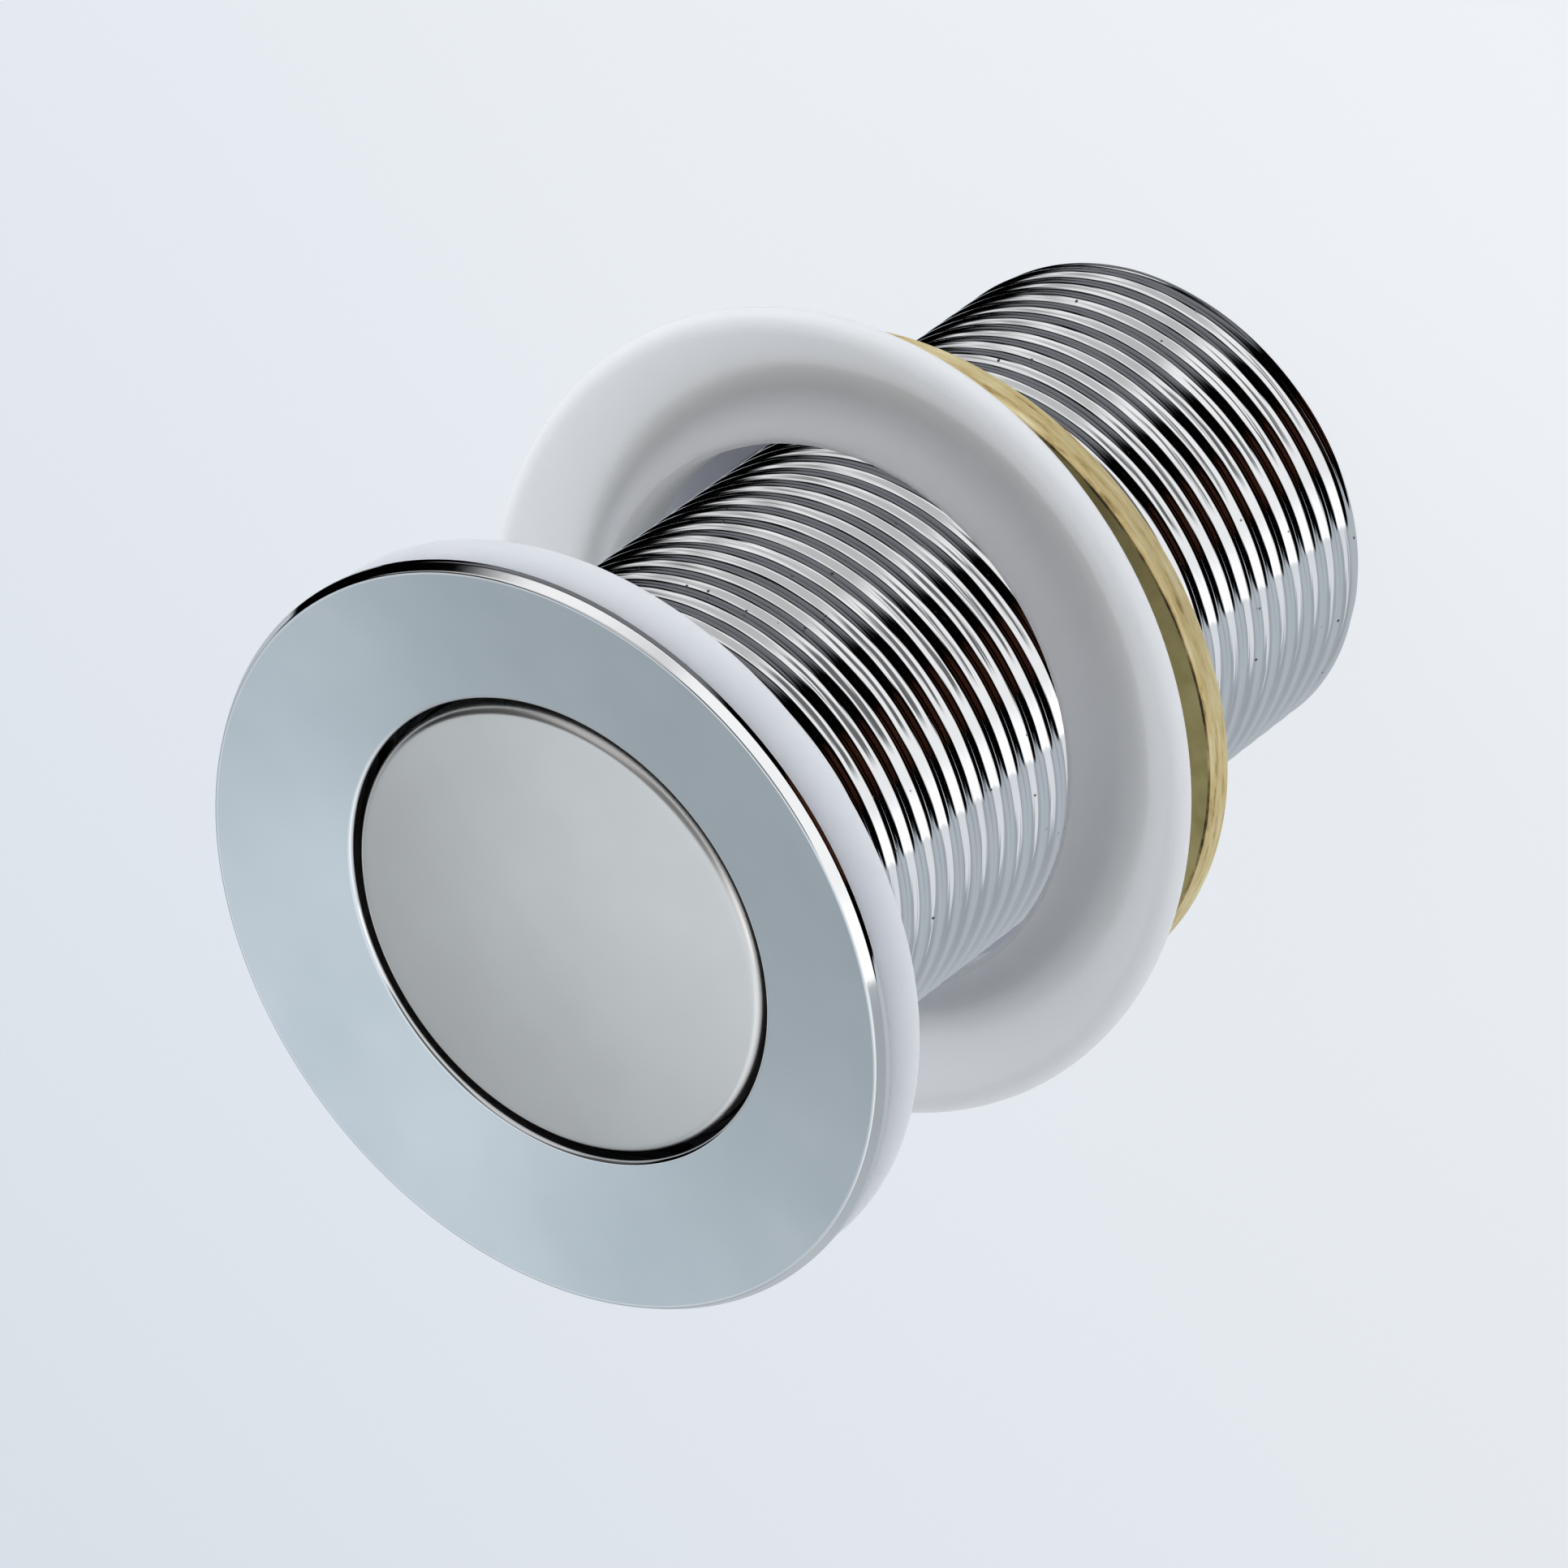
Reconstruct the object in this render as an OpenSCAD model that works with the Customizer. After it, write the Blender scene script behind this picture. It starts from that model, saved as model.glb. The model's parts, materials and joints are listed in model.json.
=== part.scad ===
// Pop up basin waste: a flanged threaded tail, a push-to-open plug on a cam cartridge,
// and the washer and nut that clamp it in a basin.
// The origin is the centre of the outlet, at the tail's end. +Z runs up the tail to the flange.
// The plug is drawn closed, and the washer leans on the nut partway up the thread.

/* [Flange] */
// Outer diameter of the flange
flange_d = 63; // [58:0.5:74]
// Height of the flange's outer rim
flange_rim_h = 1.4; // [1:0.1:2.4]
// Depth of the dished face at the plug opening
flange_dish = 2.25; // [1:0.05:2.8]
// Rounding of the flange's upper edge
flange_edge_round = 0.45; // [0.2:0.05:0.8]
// Wall between the thread's crests and the plug opening
throat_wall = 1.45; // [1:0.05:1.7]
// Rounding of the lip round the opening
lip_round = 0.7; // [0.3:0.05:1]
// Depth of the straight throat below the lip
throat_depth = 2.95; // [2.7:0.05:3.6]

/* [Tail] */
// Length of the tail below the basin seat
tail_length = 76.4; // [66:0.2:110]
// Major diameter of the tail's thread
thread_d = 41.9; // [38:0.1:47]
// Chamfer at the tail's end
tail_chamfer = 0.6; // [0.2:0.1:1.2]
// Wall between the thread's crests and the bore above the bridge
tail_wall = 3.2; // [2.8:0.05:3.6]
// Width of the ledge that carries the bridge
ledge_w = 1; // [0.8:0.1:1.8]
// Wall between the thread's crests and the outlet's bore
outlet_wall = 3.45; // [2.6:0.05:4]
// Height of the ledge below the bridge
ledge_h = 10; // [9:0.5:14]

/* [Flange gasket] */
// How far the gasket's rim lies inside the flange's rim
gasket_inset = 0.3; // [0:0.05:1]
// Height of the gasket at its rim
gasket_h = 4.6; // [2.4:0.1:6]
// Rounding of the gasket's lower edge
gasket_edge_round = 0.5; // [0.2:0.1:1]

/* [Plug] */
// Gap between the plug and the opening
plug_gap = 0.6; // [0.4:0.05:0.9]
// How far the plug's edge lies below the lip
plug_sink = 0.05; // [0:0.05:0.4]
// Rise of the plug's dome above its edge
plug_rise = 1.6; // [0.8:0.1:3]
// Rounding of the plug's edge
plug_edge_round = 0.9; // [0.4:0.1:1.1]
// Height of the plug's skirt
plug_skirt_h = 2.2; // [1.9:0.1:2.5]
// Thickness of the plug's skirt
plug_wall = 1; // [0.7:0.1:1.4]
// Thickness of the carrier's disc inside the plug
carrier_disc_h = 1.3; // [0.9:0.1:1.5]
// Width of the plug's seal, from the plug's edge in to its groove
seal_w = 5.9; // [5:0.1:7]
// Width of the carrier's lower rim, which retains the seal
carrier_rim_w = 2.2; // [1.4:0.1:2.4]
// Thickness of the carrier's lower rim
carrier_rim_h = 1; // [0.8:0.1:1.6]
// Radius of the carrier's threaded boss
carrier_boss_r = 7; // [6:0.1:8]
// Height of the carrier's threaded boss below its rim
carrier_boss_h = 2.5; // [1.5:0.1:4]
// Height of the plug's seal
seal_h = 2.2; // [1.8:0.1:2.6]
// Width across the flats of the plug's lock nut
plug_nut_af = 10; // [9:0.5:11]
// Height of the plug's lock nut
plug_nut_h = 4; // [3:0.1:5]

/* [Cartridge] */
// How far the plug rises when it opens
plug_stroke = 8; // [6:0.5:9]
// Outer radius of the plunger tube
plunger_r = 5.6; // [5.4:0.1:6]
// Wall of the plunger tube
plunger_wall = 1.3; // [1:0.1:1.4]
// Thickness of the plunger's closed top
plunger_top_h = 2; // [1.5:0.1:3]
// Length of the plunger tube
plunger_len = 20.2; // [19:0.1:21]
// Height of the follower pins above the plunger's lower end
pin_height = 2; // [1.6:0.1:2.6]
// Radius of the plunger's threaded stud
plunger_stud_r = 2.95; // [2.5:0.05:3.4]
// Room between the barrel cap and the plug's lock nut when closed
press_room = 1.3; // [0.6:0.1:2]
// Radius of the follower pins
pin_r = 0.8; // [0.6:0.05:0.9]
// Wall of the barrel
barrel_wall = 1.6; // [1.3:0.1:1.8]
// Thickness of the barrel's floor
barrel_floor_h = 3; // [2.5:0.1:4]
// Length of the closed spring
spring_len = 8; // [7.4:0.1:9]
// Wire diameter of the spring
spring_wire_d = 0.9; // [0.7:0.05:1]
// Turns of the spring, with one dead turn at each end
spring_turns = 6; // [5:0.5:6.5]
// Depth of the zigzag track in the drum
track_depth = 1.5; // [1.2:0.05:1.6]
// Width of the drum's wall above and below the track
drum_land = 1.9; // [1.2:0.1:2]
// Radius of the drum's axle
axle_r = 1.5; // [1.2:0.05:1.6]
// Thickness of the thrust washer under the drum
thrust_washer_h = 0.6; // [0.4:0.1:0.9]
// Thickness of the clip over the drum
clip_h = 0.6; // [0.4:0.1:0.8]
// Height of the cap's guide bush above the barrel
cap_bush_h = 4.9; // [4:0.1:5.6]
// Height of the cap's skirt round the barrel
cap_skirt_h = 4.5; // [3:0.1:6]
// Wall of the cap's skirt
cap_wall = 1.3; // [1:0.1:1.5]
// Width across the flats of the cap's hexagon
cap_af = 16; // [15.5:0.1:16.6]
// Thickness of the wiper ring's section
oring_d = 1.4; // [1:0.1:1.6]

/* [Bridge] */
// Height of the bridge
bridge_h = 5; // [4:0.1:7]
// Width of the bridge's arms
bridge_arm_w = 3; // [2:0.1:4]
// Radial width of the bridge's ring
bridge_ring_w = 2.5; // [1.8:0.1:2.8]
// Radius of the bridge's hub
bridge_hub_r = 8; // [7:0.1:8.6]
// Radius of the stud below the barrel
barrel_stud_r = 4; // [3:0.1:4.4]
// Width across the flats of the cartridge's lock nut
lock_nut_af = 13; // [11:0.5:14]
// Height of the cartridge's lock nut
lock_nut_h = 6.4; // [5:0.1:8]
// Thickness of the split lock washer
lock_washer_h = 1.4; // [1:0.1:2]

/* [Basin washer] */
// Width of the washer, from its bore out to its rim
washer_w = 10.85; // [9.5:0.05:14]
// Play between the thread's crests and the washer's bore
washer_play = 1.3; // [1.15:0.05:2]
// Height of the lip round the bore, above the washer's foot
washer_lip_h = 6.6; // [5.8:0.1:8]
// Height of the chamfer at the bore's lower edge
washer_edge_h = 1; // [0.6:0.1:1.6]
// Height of the rim, above the washer's foot
washer_rim_h = 6.75; // [5.5:0.05:9]
// Rounding of the rim
washer_rim_round = 1.1; // [0.8:0.05:1.4]
// Distance from the bore to the corner at the bottom of the washer's valley
washer_valley_w = 4.45; // [4.2:0.05:5.4]
// Height of that corner, above the washer's foot
washer_valley_h = 2.25; // [1.8:0.05:2.8]
// Rounding of the valley
washer_valley_round = 2; // [1:0.1:2.4]
// Width of the chamfer at the bore's lower edge, which ends at the washer's foot
washer_foot_in = 0.8; // [0.5:0.1:1.2]
// Width of the washer's foot
washer_foot_w = 4.95; // [4:0.05:5.3]
// How far the loose washer leans, in degrees
washer_lean = 7; // [0:0.5:8]
// Direction in which it leans, in degrees about the tail
washer_lean_to = -46; // [-180:1:180]
// How far the loose washer hangs off the tail's axis
washer_shift = 0.65; // [0:0.05:0.65]

/* [Back nut] */
// Distance from the basin seat down to the nut's front face
nut_drop = 42.4; // [20:0.2:56]
// Width of the nut's round rim, from the thread's crests outwards
nut_rim_w = 8.1; // [6.5:0.1:11]
// Thickness of the nut's round rim
nut_rim_h = 2.2; // [1.6:0.1:4]
// Wall of the nut's hexagon at the middle of its flats
nut_wall = 2.05; // [1.5:0.05:5]
// Height of the nut's hexagon behind the rim
nut_hex_h = 3.3; // [2:0.1:8]
// Chamfer on the nut's edges
nut_chamfer = 0.4; // [0.2:0.1:0.8]
// Angle of the nut's hexagon about the tail
nut_angle = 36; // [0:1:59]

/* [Clearances] */
// Radial running fit of turning and sliding pieces
run_fit = 0.05; // [0.02:0.01:0.1]
// Radial fit of pieces that are screwed or pushed together
seat_fit = 0.03; // [0.01:0.01:0.06]
// Open gap between pieces that pass each other
open_gap = 0.3; // [0.2:0.05:0.35]
// Gap between the plug's seal and the seat cone
seal_gap = 0.2; // [0.1:0.05:0.3]
// Gap between each end of the spring and its seat
spring_gap = 0.1; // [0.05:0.01:0.2]

/* [Hidden] */
$fn = 96;
cut = 1;

flange_r = flange_d / 2;
thread_r = thread_d / 2;
opening_r = thread_r - throat_wall;
upper_bore_r = thread_r - tail_wall;
lower_bore_r = upper_bore_r - ledge_w;
outlet_r = thread_r - outlet_wall;
gasket_r = flange_r - gasket_inset;
gasket_bore_r = thread_r + open_gap;

seat_z = tail_length;
flange_top_z = seat_z + gasket_h + flange_rim_h;
lip_z = flange_top_z - flange_dish;
throat_z = lip_z - throat_depth;
flange_slope = flange_dish / (flange_r - opening_r);

plug_r = opening_r - plug_gap;
plug_inner_r = plug_r - plug_wall;
plug_edge_z = lip_z - plug_sink;
plug_bottom_z = plug_edge_z - plug_skirt_h;
plug_ceiling_z = plug_bottom_z + carrier_disc_h;
plug_dome_r = (plug_r * plug_r + plug_rise * plug_rise) / (2 * plug_rise);

seal_r = plug_r - seat_fit;
seal_bottom_z = plug_bottom_z - seal_h;
seal_shift = seal_gap * sqrt(2);
carrier_groove_r = plug_r - seal_w;
carrier_rim_r = carrier_groove_r + carrier_rim_w;
carrier_rim_z = seal_bottom_z - carrier_rim_h;
carrier_boss_z = carrier_rim_z - carrier_boss_h;

plunger_top_z = carrier_boss_z - plug_nut_h;
plunger_end_z = plunger_top_z - plunger_len;
plunger_ceiling_z = plunger_top_z - plunger_top_h;
plunger_inner_r = plunger_r - plunger_wall;
stud_top_z = plug_bottom_z;
pin_z = plunger_end_z + pin_height;

barrel_inner_r = plunger_r + open_gap;
barrel_r = barrel_inner_r + barrel_wall;
barrel_floor_z = plunger_end_z - spring_len;
barrel_z = barrel_floor_z - barrel_floor_h;
cap_top_z = plunger_top_z - press_room;
barrel_top_z = cap_top_z - cap_bush_h;
cap_r = barrel_r + cap_wall;
cap_bore_r = plunger_r + run_fit;
oring_z = barrel_top_z + cap_bush_h / 2;
oring_groove_r = cap_bore_r + oring_d + seat_fit;

slot_r = pin_r + open_gap;
drum_r = plunger_inner_r - open_gap;
track_r = drum_r - track_depth;
track_w = 2 * slot_r * 1.32;
drum_z = barrel_floor_z + thrust_washer_h;
drum_top_z = pin_z + plug_stroke + slot_r + drum_land;
drum_neck_r = drum_r - 2 * open_gap;
drum_neck_z = pin_z - slot_r - drum_land;
axle_foot_z = barrel_floor_z - 0.7 * barrel_floor_h;
axle_groove_r = axle_r - 0.3;
clip_z = drum_top_z + seal_gap;
clip_room = clip_h + 2 * seat_fit;
axle_top_z = clip_z + clip_room + axle_r / 2;

bridge_z = barrel_z - bridge_h;
bridge_r = upper_bore_r - seat_fit;
outlet_top_z = bridge_z - ledge_h;
lock_washer_z = bridge_z - lock_washer_h;
lock_nut_z = lock_washer_z - lock_nut_h;
barrel_stud_z = lock_nut_z - lock_washer_h / 2;

nut_z = seat_z - nut_drop;
nut_bore_r = thread_r + run_fit;
nut_r = thread_r + nut_rim_w;
nut_af = 2 * (thread_r + nut_wall);
washer_bore_r = thread_r + washer_play;
washer_rim_centre = [washer_bore_r + washer_w - washer_rim_round, washer_rim_h - washer_rim_round];
washer_valley = [washer_bore_r + washer_valley_w, washer_valley_h];
washer_foot_r = washer_bore_r + washer_foot_in + washer_foot_w;
washer_pivot_h = (washer_lip_h + washer_edge_h) / 2;
washer_pivot_z = nut_z + washer_pivot_h * cos(washer_lean) + washer_foot_r * sin(washer_lean);

spring_r = (plunger_r + plunger_inner_r) / 2;
spring_sides = 8;
spring_steps = 20;

// Height of the flange's dished underside at radius r
function under_z(r) = flange_top_z - flange_rim_h - flange_slope * (flange_r - r);

// Radius of the corners of a hexagon from the width across its flats
function corner_r(af) = af / 2 / cos(30);

// Point where a line from a point touches a circle, on the line's left (1) or right (-1) side
function touch_point(from, centre, r, side) =
    let (
        away = centre - from,
        reach = sqrt(away * away - r * r),
        angle = atan2(away[1], away[0]) + side * asin(r / norm(away))
    )
    from + reach * [cos(angle), sin(angle)];

// What an arc of radius r fills in a corner whose sides run to a and b
module corner_fill(a, corner, b, r) {
    to_a = (a - corner) / norm(a - corner);
    to_b = (b - corner) / norm(b - corner);
    half = acos(to_a * to_b) / 2;
    reach = r / tan(half);
    centre = corner + (to_a + to_b) / norm(to_a + to_b) * r / sin(half);
    difference() {
        polygon([corner, corner + reach * to_a, centre, corner + reach * to_b]);
        translate(centre)
            circle(r = r);
    }
}

// A ring turned about the axis, from z up by h
module ring(inner, outer, z, h) {
    translate([0, 0, z])
        difference() {
            cylinder(r = outer, h = h);
            translate([0, 0, -cut])
                cylinder(r = inner, h = h + 2 * cut);
        }
}

// A hexagonal nut with a round bore and turned corners
module hex_nut(af, bore, z, h) {
    ease = 0.1 * h;
    translate([0, 0, z])
        difference() {
            intersection() {
                cylinder(r = corner_r(af), h = h, $fn = 6);
                rotate_extrude()
                    polygon([
                        [0, 0], [af / 2, 0], [corner_r(af), ease],
                        [corner_r(af), h - ease], [af / 2, h], [0, h]
                    ]);
            }
            translate([0, 0, -cut])
                cylinder(r = bore, h = h + 2 * cut);
        }
}

module waste_body() {
    edge = flange_edge_round;
    lip_r = opening_r + lip_round;
    lip_edge_z = flange_top_z - flange_slope * (flange_r - lip_r);
    color([0.80, 0.82, 0.84])
        rotate_extrude()
            union() {
                polygon([
                    [outlet_r, 0],
                    [thread_r - tail_chamfer, 0],
                    [thread_r, tail_chamfer],
                    [thread_r, under_z(thread_r)],
                    [flange_r, flange_top_z - flange_rim_h],
                    [flange_r, flange_top_z - edge],
                    [flange_r - edge, flange_top_z - edge],
                    [flange_r - edge, flange_top_z],
                    [lip_r, lip_edge_z],
                    [lip_r, lip_edge_z - lip_round],
                    [opening_r, lip_edge_z - lip_round],
                    [opening_r, throat_z],
                    [upper_bore_r, throat_z - (opening_r - upper_bore_r)],
                    [upper_bore_r, bridge_z],
                    [lower_bore_r, bridge_z],
                    [lower_bore_r, outlet_top_z],
                    [outlet_r, outlet_top_z]
                ]);
                translate([flange_r - edge, flange_top_z - edge])
                    circle(r = edge);
                translate([lip_r, lip_edge_z - lip_round])
                    circle(r = lip_round);
            }
}

module flange_gasket() {
    edge = gasket_edge_round;
    color([0.90, 0.90, 0.92])
        rotate_extrude()
            union() {
                polygon([
                    [gasket_bore_r, seat_z],
                    [gasket_r - edge, seat_z],
                    [gasket_r - edge, seat_z + edge],
                    [gasket_r, seat_z + edge],
                    [gasket_r, under_z(gasket_r) - seat_fit],
                    [gasket_bore_r, under_z(gasket_bore_r) - seat_fit]
                ]);
                translate([gasket_r - edge, seat_z + edge])
                    circle(r = edge);
            }
}

// The plug's rounded edge runs smoothly into its dome
module plug_cap() {
    shoulder_r = plug_r - plug_edge_round;
    dome_z = plug_edge_z + plug_rise - plug_dome_r;
    round_reach = plug_dome_r - plug_edge_round;
    shoulder_z = dome_z + sqrt(round_reach * round_reach - shoulder_r * shoulder_r);
    dome_edge_r = shoulder_r * plug_dome_r / round_reach;
    color([0.74, 0.74, 0.74])
        rotate_extrude()
            difference() {
                union() {
                    intersection() {
                        translate([0, dome_z])
                            circle(r = plug_dome_r, $fn = 360);
                        translate([0, plug_bottom_z])
                            square([dome_edge_r, plug_skirt_h + plug_rise + cut]);
                    }
                    translate([shoulder_r, shoulder_z])
                        circle(r = plug_edge_round);
                    translate([shoulder_r, plug_bottom_z])
                        square([plug_edge_round, shoulder_z - plug_bottom_z]);
                }
                translate([-cut, plug_bottom_z - cut])
                    square([plug_inner_r + cut, plug_ceiling_z - plug_bottom_z + cut]);
            }
}

module plug_carrier() {
    disc_r = plug_inner_r - seat_fit;
    bore_r = plunger_stud_r + seat_fit;
    color([0.78, 0.62, 0.32])
        rotate_extrude()
            polygon([
                [0, plug_ceiling_z],
                [disc_r, plug_ceiling_z],
                [disc_r, plug_bottom_z],
                [carrier_groove_r, plug_bottom_z],
                [carrier_groove_r, seal_bottom_z],
                [carrier_rim_r, seal_bottom_z],
                [carrier_rim_r, carrier_rim_z],
                [carrier_boss_r, carrier_rim_z],
                [carrier_boss_r, carrier_boss_z],
                [bore_r, carrier_boss_z],
                [bore_r, stud_top_z],
                [0, stud_top_z]
            ]);
}

// The seal's outer edge runs parallel to the seat cone
module plug_seal() {
    cone_top_z = throat_z - (opening_r - seal_r) + seal_shift;
    cone_bottom_r = opening_r - (throat_z + seal_shift - seal_bottom_z);
    inner_r = carrier_groove_r + seat_fit;
    color([0.16, 0.16, 0.17])
        rotate_extrude()
            polygon([
                [inner_r, plug_bottom_z],
                [seal_r, plug_bottom_z],
                [seal_r, cone_top_z],
                [cone_bottom_r, seal_bottom_z],
                [inner_r, seal_bottom_z]
            ]);
}

module plug_lock_nut() {
    color([0.78, 0.62, 0.32])
        hex_nut(plug_nut_af, plunger_stud_r + seat_fit, plunger_top_z, plug_nut_h);
}

module plunger() {
    color([0.78, 0.62, 0.32])
        difference() {
            rotate_extrude()
                polygon([
                    [0, plunger_ceiling_z],
                    [plunger_inner_r, plunger_ceiling_z],
                    [plunger_inner_r, plunger_end_z],
                    [plunger_r, plunger_end_z],
                    [plunger_r, plunger_top_z],
                    [plunger_stud_r, plunger_top_z],
                    [plunger_stud_r, stud_top_z - seat_fit],
                    [0, stud_top_z - seat_fit]
                ]);
            translate([-plunger_r - cut, 0, pin_z])
                rotate([0, 90, 0])
                    cylinder(r = pin_r + seat_fit, h = 2 * (plunger_r + cut));
        }
}

// Two pins in line, each from the drum's track out into a slot of the barrel
module follower_pins() {
    inner = track_r + open_gap;
    outer = barrel_r - open_gap;
    color([0.70, 0.70, 0.72])
        for (side = [0, 180])
            rotate([0, 0, side])
                translate([inner, 0, pin_z])
                    rotate([0, 90, 0])
                        cylinder(r = pin_r, h = outer - inner);
}

module barrel_cap() {
    groove_z = oring_z - oring_d / 2 - seat_fit;
    color([0.86, 0.86, 0.84])
        difference() {
            union() {
                ring(cap_bore_r, cap_r, barrel_top_z - cap_skirt_h, cap_skirt_h);
                translate([0, 0, barrel_top_z])
                    cylinder(r = corner_r(cap_af), h = cap_bush_h, $fn = 6);
            }
            translate([0, 0, barrel_top_z - cap_skirt_h - cut])
                cylinder(r = barrel_r + seat_fit, h = cap_skirt_h + cut);
            translate([0, 0, barrel_top_z - cut])
                cylinder(r = cap_bore_r, h = cap_bush_h + 2 * cut);
            translate([0, 0, groove_z])
                cylinder(r = oring_groove_r, h = oring_d + 2 * seat_fit);
        }
}

module barrel_oring() {
    color([0.12, 0.12, 0.13])
        rotate_extrude()
            translate([cap_bore_r + oring_d / 2, oring_z])
                circle(d = oring_d);
}

// Barrel with a solid floor, a stud below and two upright slots for the pins
module core_barrel() {
    color([0.78, 0.62, 0.32])
        difference() {
            rotate_extrude()
                polygon([
                    [0, barrel_stud_z],
                    [barrel_stud_r, barrel_stud_z],
                    [barrel_stud_r, barrel_z],
                    [barrel_r, barrel_z],
                    [barrel_r, barrel_top_z],
                    [barrel_inner_r, barrel_top_z],
                    [barrel_inner_r, barrel_floor_z],
                    [0, barrel_floor_z]
                ]);
            translate([0, 0, axle_foot_z])
                cylinder(r = axle_r + seat_fit, h = barrel_floor_h);
            for (side = [0, 180])
                rotate([0, 0, side])
                    translate([barrel_inner_r - cut, 0, pin_z])
                        rotate([0, 90, 0]) {
                            cylinder(r = slot_r, h = barrel_wall + 2 * cut);
                            translate([-plug_stroke, 0, 0])
                                cylinder(r = slot_r, h = barrel_wall + 2 * cut);
                            translate([-plug_stroke, -slot_r, 0])
                                cube([plug_stroke, 2 * slot_r, barrel_wall + 2 * cut]);
                        }
        }
}

// One rising or falling flank of the track: a quarter turn over the stroke
module track_flank(turn) {
    translate([0, 0, pin_z])
        linear_extrude(height = plug_stroke, twist = turn, slices = 20, $fn = 8)
            translate([track_r, -track_w / 2])
                square([track_depth + cut, track_w]);
}

// A corner of the track, where a pin comes to rest
module track_corner(z) {
    translate([track_r, 0, z])
        rotate([0, 90, 0])
            cylinder(r = slot_r, h = track_depth + cut);
}

// The zigzag track has two low corners, where the plug is closed, and two high ones
module cam_drum() {
    color([0.92, 0.92, 0.90])
        difference() {
            union() {
                translate([0, 0, drum_neck_z])
                    cylinder(r = drum_r, h = drum_top_z - drum_neck_z);
                translate([0, 0, drum_z])
                    cylinder(r = drum_neck_r, h = drum_neck_z - drum_z);
            }
            translate([0, 0, drum_z - cut])
                cylinder(r = axle_r + run_fit, h = drum_top_z - drum_z + 2 * cut);
            for (low = [0, 180])
                rotate([0, 0, low]) {
                    track_flank(90);
                    track_flank(-90);
                    track_corner(pin_z);
                    rotate([0, 0, 90])
                        track_corner(pin_z + plug_stroke);
                }
        }
}

module drum_axle() {
    color([0.70, 0.70, 0.72])
        rotate_extrude()
            polygon([
                [0, axle_foot_z],
                [axle_r, axle_foot_z],
                [axle_r, clip_z],
                [axle_groove_r, clip_z],
                [axle_groove_r, clip_z + clip_room],
                [axle_r, clip_z + clip_room],
                [axle_r, axle_top_z],
                [0, axle_top_z]
            ]);
}

module thrust_washer() {
    color([0.70, 0.70, 0.72])
        ring(axle_r + seat_fit, drum_neck_r, barrel_floor_z, thrust_washer_h);
}

// Open clip in the axle's groove
module axle_clip() {
    outer = 2 * axle_r;
    mouth = 1.6 * axle_groove_r;
    color([0.45, 0.45, 0.47])
        difference() {
            ring(axle_groove_r + seat_fit, outer, clip_z + seat_fit, clip_h);
            translate([0, -mouth / 2, clip_z])
                cube([outer + cut, mouth, clip_room + cut]);
        }
}

// Height of the spring's wire after a number of turns: dead turns at both ends
function spring_height(turns) =
    let (
        active = spring_turns - 2,
        low = spring_gap + spring_wire_d / 2,
        rise = (spring_len - 2 * low - 2 * spring_wire_d) / active
    )
    low + min(turns, 1) * spring_wire_d
    + max(0, min(turns - 1, active)) * rise
    + max(0, turns - 1 - active) * spring_wire_d;

function spring_point(step, side) =
    let (
        turns = step / spring_steps,
        across = 360 * side / spring_sides,
        r = spring_r + cos(across) * spring_wire_d / 2,
        z = spring_height(turns) + sin(across) * spring_wire_d / 2
    )
    [r * cos(360 * turns), r * sin(360 * turns), z];

module return_spring() {
    last = spring_turns * spring_steps;
    points = [
        for (step = [0 : last])
            for (side = [0 : spring_sides - 1])
                spring_point(step, side)
    ];
    walls = [
        for (step = [0 : last - 1])
            for (side = [0 : spring_sides - 1])
                let (
                    next = (side + 1) % spring_sides,
                    low = step * spring_sides,
                    high = low + spring_sides
                )
                [low + side, high + side, high + next, low + next]
    ];
    start_cap = [for (side = [0 : spring_sides - 1]) side];
    end_cap = [for (side = [spring_sides - 1 : -1 : 0]) last * spring_sides + side];
    color([0.62, 0.63, 0.65])
        translate([0, 0, barrel_floor_z])
            polyhedron(points, concat(walls, [start_cap, end_cap]));
}

// Four arms between the hub and a ring that stands on the tail's ledge
module cross_bridge() {
    ring_inner_r = bridge_r - bridge_ring_w;
    arm_len = bridge_r - bridge_ring_w / 2;
    color([0.78, 0.62, 0.32])
        difference() {
            union() {
                ring(ring_inner_r, bridge_r, bridge_z, bridge_h);
                translate([0, 0, bridge_z])
                    cylinder(r = bridge_hub_r, h = bridge_h);
                for (turn = [45, 135, 225, 315])
                    rotate([0, 0, turn])
                        translate([0, -bridge_arm_w / 2, bridge_z])
                            cube([arm_len, bridge_arm_w, bridge_h]);
            }
            translate([0, 0, bridge_z - cut])
                cylinder(r = barrel_stud_r + seat_fit, h = bridge_h + 2 * cut);
        }
}

// Split spring washer under the cartridge's lock nut
module lock_washer() {
    outer = corner_r(lock_nut_af) - seat_fit;
    split = lock_washer_h / 2;
    color([0.60, 0.60, 0.62])
        difference() {
            ring(barrel_stud_r + seat_fit, outer, lock_washer_z, lock_washer_h);
            translate([0, -split / 2, lock_washer_z - cut])
                cube([outer + cut, split, lock_washer_h + 2 * cut]);
        }
}

module core_lock_nut() {
    color([0.78, 0.62, 0.32])
        hex_nut(lock_nut_af, barrel_stud_r + seat_fit, lock_nut_z, lock_nut_h);
}

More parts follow.
